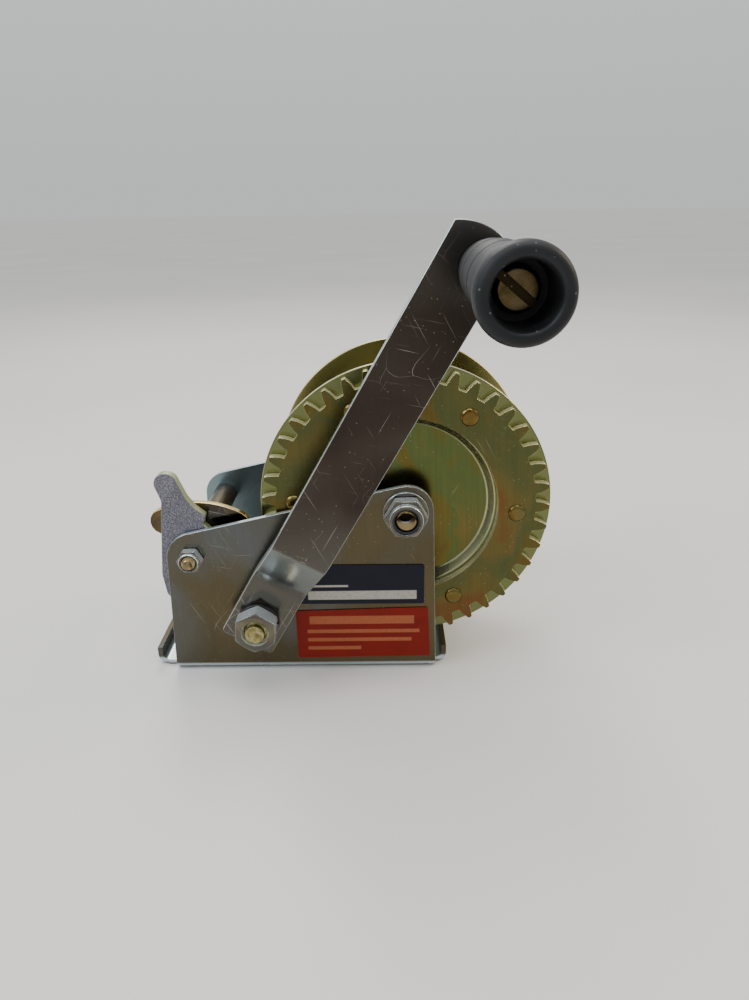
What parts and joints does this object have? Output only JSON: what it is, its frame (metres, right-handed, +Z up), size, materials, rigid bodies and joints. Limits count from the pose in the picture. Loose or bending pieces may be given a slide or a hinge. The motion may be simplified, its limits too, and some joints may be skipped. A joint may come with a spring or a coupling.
{
  "type": "boat trailer winch",
  "caption": "Hand-cranked trailer winch: a pinion on the crank turns a ring gear and strap drum in a folded steel frame, with a pawl and a free-turning grip.",
  "frame": {"origin": "middle of the underside of the folded base", "axes": "+Z up; X along the base, the drum end at +X; every shaft lies along Y; the crank is on the -Y side"},
  "size_m": [0.1857, 0.1979, 0.2022],
  "materials": {
    "clear_zinc": "folded steel sheet with clear zinc plating, satin, lightly scratched",
    "yellow_zinc": "yellow chromate zinc plating, satin, olive to gold with faint rainbow",
    "arm_zinc": "darkened zinc plating, glossy, finely scratched",
    "bright_zinc": "bright zinc plated fasteners",
    "pawl_grey": "matte grey, fine sparkle",
    "spring_steel": "dark spring steel",
    "black_rubber": "charcoal rubber, satin",
    "nylon": "dark blue nylon locking ring",
    "dark_vinyl": "dark navy printed film, no print",
    "red_vinyl": "red printed film, no print"
  },
  "bodies": {
    "frame": {"frame": "clear_zinc", "upper_label": "dark_vinyl", "lower_label": "red_vinyl", "drum_bolt": "bright_zinc", "drum_sleeve": "clear_zinc", "drum_washer_far": "bright_zinc", "drum_washer_near": "bright_zinc", "drum_nut": "bright_zinc", "drum_nut_nylon_ring": "nylon", "shaft_bush_near": "bright_zinc", "shaft_bush_far": "bright_zinc", "pawl_bolt": "bright_zinc", "pawl_nut": "bright_zinc", "pawl_nut_nylon_ring": "nylon", "pawl_spacer": "clear_zinc"},
    "drum": {"drum_flange_near": "yellow_zinc", "drum_flange_far": "yellow_zinc", "drum_hub": "yellow_zinc", "ring_gear": "yellow_zinc", "gear_rivet_1": "yellow_zinc", "gear_rivet_2": "yellow_zinc", "gear_rivet_3": "yellow_zinc", "gear_rivet_4": "yellow_zinc", "gear_rivet_5": "yellow_zinc", "gear_rivet_6": "yellow_zinc", "strap_bolt": "bright_zinc", "strap_bolt_nut": "bright_zinc"},
    "crank": {"crank_shaft": "bright_zinc", "shaft_clip": "spring_steel", "shaft_spacer": "clear_zinc", "crank_collar": "bright_zinc", "crank_lock_washer": "bright_zinc", "crank_nut": "bright_zinc", "pinion": "yellow_zinc", "crank_arm": "arm_zinc", "grip_screw": "yellow_zinc", "grip_washer": "yellow_zinc", "grip_nut": "yellow_zinc"},
    "grip": {"grip": "black_rubber"},
    "pawl": {"pawl_lever": "pawl_grey", "pawl_thumb_plate": "yellow_zinc", "pawl_spring": "spring_steel"}
  },
  "joints": [
    {"name": "drum_spin", "type": "hinge", "parent": "frame", "child": "drum", "pos_m": [0.0505, 0, 0.0812], "axis": [0, 1, 0], "continuous": true},
    {"name": "crank_spin", "type": "hinge", "parent": "frame", "child": "crank", "pos_m": [-0.01585, 0, 0.03474], "axis": [0, 1, 0], "continuous": true},
    {"name": "grip_spin", "type": "hinge", "parent": "crank", "child": "grip", "pos_m": [0.07853, 0, 0.18521], "axis": [0, 1, 0], "continuous": true},
    {"name": "pawl_pivot", "type": "hinge", "parent": "frame", "child": "pawl", "pos_m": [-0.0465, 0, 0.06], "axis": [0, 1, 0], "range_deg": [-8, 9], "stiffness_Nm_per_rad": 0.6}
  ],
  "couplings": [
    {"joint": "crank_spin", "follows": "drum_spin", "ratio": -3.1538}
  ]
}
